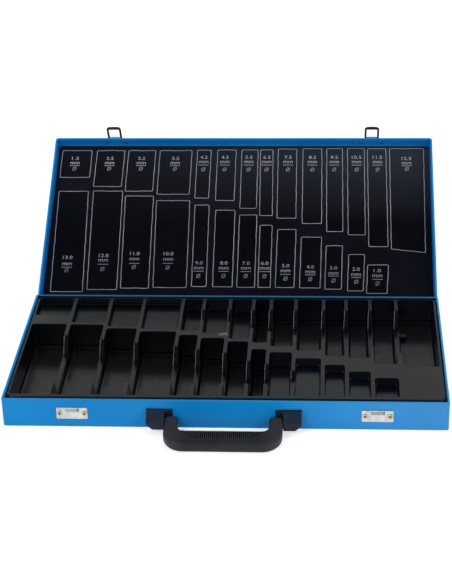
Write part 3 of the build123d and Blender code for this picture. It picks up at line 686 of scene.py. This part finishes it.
# Small half-round rest moulded beside the left wall of the 12.5 pocket, its top painted paler as painted
# light
REST_LEFT, REST_RIGHT = 188.6, 198.0
REST_FRONT, REST_BACK = 70.4, 77.6
REST_FOOT, REST_TOP = 1.7, 6.4
REST_ROUND = (REST_BACK - REST_FRONT) / 2
REST_ARC_STEPS = 8
rest_outline = [(REST_LEFT, REST_BACK), (REST_LEFT, REST_FRONT)]
for step in range(REST_ARC_STEPS + 1):
    turn = math.pi * step / REST_ARC_STEPS - math.pi / 2
    rest_outline.append((
        REST_RIGHT - REST_ROUND + REST_ROUND * math.cos(turn),
        REST_FRONT + REST_ROUND + REST_ROUND * math.sin(turn)))
count = len(rest_outline)
rest_vertices = [Vector((x, y, z)) * MM for z in (REST_FOOT, REST_TOP) for x, y in rest_outline]
rest_bottom, rest_top = tuple(range(count)), tuple(range(count, 2 * count))
rest_faces = [rest_bottom, rest_top]
for index in range(count):
    after = (index + 1) % count
    rest_faces.append((index, after, count + after, count + index))
rest = add_piece("pocket_rest", rest_vertices, rest_faces, tray_black, "base")
# Painted light on the rest's top face
rest.data.materials.append(rest_top_lit)
rest.data.polygons[rest_faces.index(rest_top)].material_index = 1

# Handle directions at rest: across, out along the arms, and down through the grip
PIVOT = Vector((0, -125.0, 11.4))
GRIP_FOOT_OUT, GRIP_FOOT_DOWN = 37.0, 2.4
GRIP_FOOT_ROUND = 4.0
TABLE_GAP = 0.1
DROOP = (
    math.asin((PIVOT.z - GRIP_FOOT_ROUND - TABLE_GAP) / math.hypot(GRIP_FOOT_OUT, GRIP_FOOT_DOWN))
    - math.atan2(GRIP_FOOT_DOWN, GRIP_FOOT_OUT))
OUT_ALONG_ARM = Vector((0, -math.cos(DROOP), -math.sin(DROOP)))
THROUGH_GRIP = Vector((0, math.sin(DROOP), -math.cos(DROOP)))
HALF_GRIP = 6.4
GRIP_INNER = 18.0
GRIP_ROUND = 4.0


def on_handle(x, out, down):
    """Place on the handle, across, out along its arms and down through it, in metres."""
    return (PIVOT + Vector((x, 0, 0)) + OUT_ALONG_ARM * out + THROUGH_GRIP * down) * MM


# Ribs of the grip's comb; outside RIB_LONG_HALF they end sooner, towards the grip's corners
RIB_COUNT = 42
RIB_REACH = 32.5
RIB_LONG_HALF = 28.0
RIB_DROP = 2.4
RIB_PROUD = 0.8
RIB_CREST_HALF, RIB_HALF = 0.15, 0.34
# How much of a rib's height its shoulders and its ends keep, and how far its foot is sunk in
RIB_SHOULDER = 0.7
RIB_END_FADE = 0.15
RIB_ROOT = 0.1
RIB_BEND_STEPS = 6


def rib_path(reach):
    """Path from the grip's inner face over its rounded edge and along its top, with outward ways."""
    path = [((GRIP_INNER, RIB_DROP), (-1.0, 0.0)), ((GRIP_INNER, 0.0), (-1.0, 0.0))]
    for step in range(RIB_BEND_STEPS + 1):
        turn = math.pi / 2 * step / RIB_BEND_STEPS
        way = (-math.cos(turn), -math.sin(turn))
        out = GRIP_INNER + GRIP_ROUND + way[0] * GRIP_ROUND
        down = GRIP_ROUND - HALF_GRIP + way[1] * GRIP_ROUND
        path.append(((out, down), way))
    for out in (reach - RIB_PROUD, reach):
        path.append(((out, -HALF_GRIP), (0.0, -1.0)))
    return path


def rib_section(fade):
    """A rib's cross-section from left to right, as how far across and how high."""
    left = [
        (-RIB_HALF - RIB_ROOT, -RIB_ROOT), (-RIB_HALF, RIB_SHOULDER * RIB_PROUD * fade),
        (-RIB_CREST_HALF, RIB_PROUD * fade)]
    return left + [(-across, rise) for across, rise in reversed(left)]


rib_vertices, rib_faces = [], []
for rib in range(RIB_COUNT):
    mid = (rib - (RIB_COUNT - 1) / 2) * RIB_PITCH
    path = rib_path(RIB_REACH - max(0.0, abs(mid) - RIB_LONG_HALF))
    start = len(rib_vertices)
    for order, ((out, down), way) in enumerate(path):
        section = rib_section(RIB_END_FADE if order in (0, len(path) - 1) else 1.0)
        rib_vertices += [
            on_handle(mid + across, out + way[0] * rise, down + way[1] * rise) for across, rise in section]
    side = len(section)
    for order in range(len(path) - 1):
        a, b = start + order * side, start + (order + 1) * side
        for corner in range(side):
            after = (corner + 1) % side
            rib_faces.append((a + corner, a + after, b + after, b + corner))
    last = start + (len(path) - 1) * side
    rib_faces.append(tuple(start + corner for corner in reversed(range(side))))
    rib_faces.append(tuple(last + corner for corner in range(side)))
add_piece("handle_grip_ribs", rib_vertices, rib_faces, rib_lit_plastic, "handle")

# Low round ejector marks on the arms' top faces
MARK_X, MARK_OUT, MARK_RADIUS = 51.5, 13.5, 2.6
MARK_STEPS = 24
# Rings of a mark from its foot: how far inside its radius, and how high
MARK_RINGS = ((0.0, 0.0), (0.25, 0.22), (0.65, 0.22), (0.9, 0.06))


def mould_mark(name, x):
    """One ejector mark, with a dished top."""
    vertices, faces = [], []
    for inset, rise in MARK_RINGS:
        radius = MARK_RADIUS - inset
        for index in range(MARK_STEPS):
            turn = math.tau * index / MARK_STEPS
            vertices.append(on_handle(
                x + radius * math.cos(turn), MARK_OUT + radius * math.sin(turn), -HALF_GRIP - rise))
    last = (len(MARK_RINGS) - 1) * MARK_STEPS
    for ring in range(0, last, MARK_STEPS):
        for index in range(MARK_STEPS):
            a, b = ring + index, ring + (index + 1) % MARK_STEPS
            faces.append((a, b, b + MARK_STEPS, a + MARK_STEPS))
    faces.append(tuple(last + index for index in range(MARK_STEPS)))
    add_piece(name, vertices, faces, handle_black, "handle", smooth=True)


mould_mark("handle_mark_right", MARK_X)
mould_mark("handle_mark_left", -MARK_X)

# Floor of pale paper, which glows a little more farther off, so that it looks even
FLOOR_HALF = 9.0
FLOOR_TONE = (0.82, 0.82, 0.82, 1)
FLOOR_LIFT_FROM, FLOOR_LIFT_TO = 0.6, 2.4
FLOOR_LIFT_NEAR, FLOOR_LIFT_FAR = 0.6, 0.76


def seen_rays(nodes):
    """1 where the camera sees a surface straight, by gloss or through glass."""
    path = nodes.add("ShaderNodeLightPath")
    return nodes.math(
        "MAXIMUM", path.outputs["Is Camera Ray"], path.outputs["Is Glossy Ray"],
        path.outputs["Is Transmission Ray"])


def floor_paper():
    """Matt paper with a glow that is seen but lights nothing."""
    material = bpy.data.materials.new("floor_paper")
    material.use_nodes = True
    nodes = Nodes(material.node_tree)
    nodes.tree.nodes.remove(nodes.tree.nodes["Principled BSDF"])
    away = nodes.vector_math("LENGTH", nodes.add("ShaderNodeTexCoord").outputs["Object"])
    lift = nodes.span(
        away.outputs["Value"], FLOOR_LIFT_FROM, FLOOR_LIFT_TO, FLOOR_LIFT_NEAR, FLOOR_LIFT_FAR)
    matt = nodes.add("ShaderNodeBsdfDiffuse", {"Color": FLOOR_TONE})
    glow = nodes.add("ShaderNodeEmission", {"Strength": nodes.math("MULTIPLY", seen_rays(nodes), lift)})
    both = nodes.add("ShaderNodeAddShader", {0: matt.outputs[0], 1: glow.outputs[0]})
    nodes.tree.links.new(both.outputs[0], nodes.tree.nodes["Material Output"].inputs["Surface"])
    return material


floor_mesh = bpy.data.meshes.new("floor")
floor_corners = [(FLOOR_HALF * x, FLOOR_HALF * y, 0) for x, y in ((-1, -1), (1, -1), (1, 1), (-1, 1))]
floor_mesh.from_pydata(floor_corners, [], [(0, 1, 2, 3)])
floor_mesh.materials.append(floor_paper())
floor = bpy.data.objects.new("floor", floor_mesh)
bpy.context.scene.collection.objects.link(floor)

# Surround: white to the camera, and a light that is stronger near the horizon to all else
SURROUND_LOW, SURROUND_HIGH = 1.1, 0.12
SURROUND_FALL_FROM, SURROUND_FALL_TO = 0.05, 0.8


def pale_surround():
    """World with an even white background."""
    world = bpy.data.worlds.new("surround")
    world.use_nodes = True
    nodes = Nodes(world.node_tree)
    height = nodes.parts(nodes.add("ShaderNodeTexCoord").outputs["Generated"])[2]
    light = nodes.span(height, SURROUND_FALL_FROM, SURROUND_FALL_TO, SURROUND_LOW, SURROUND_HIGH)
    seen = nodes.add("ShaderNodeLightPath").outputs["Is Camera Ray"]
    strength = nodes.add("ShaderNodeMix", {0: seen, 2: light, 3: 1.0}).outputs[0]
    background = nodes.tree.nodes["Background"]
    background.inputs["Color"].default_value = (1, 1, 1, 1)
    nodes.tree.links.new(strength, background.inputs["Strength"])
    return world


bpy.context.scene.world = pale_surround()


# Lamps, in metres and watts
def lamp(name, place, aim, size, watts, mirrored=True):
    """Soft rectangular lamp turned to a place on the case; mirrored shows it in gloss."""
    data = bpy.data.lights.new(name, "AREA")
    data.shape = "RECTANGLE"
    data.size, data.size_y = size
    data.energy = watts
    lamp_object = bpy.data.objects.new(name, data)
    bpy.context.scene.collection.objects.link(lamp_object)
    lamp_object.location = place
    lamp_object.visible_glossy = mirrored
    lamp_object.rotation_euler = (Vector(aim) - Vector(place)).to_track_quat("-Z", "Y").to_euler()


lamp("key", (-1.5, -1.9, 2.1), (0, 0, 0.05), (1.2, 1.2), 26)
lamp("fill", (1.9, -1.6, 1.5), (0, 0, 0.05), (1.0, 1.0), 11)
lamp("side", (1.9, 0.3, 1.55), (0, 0, 0.03), (0.5, 1.2), 7)
lamp("top", (0.2, 0.3, 2.4), (0, 0, 0.05), (1.6, 0.8), 8, mirrored=False)
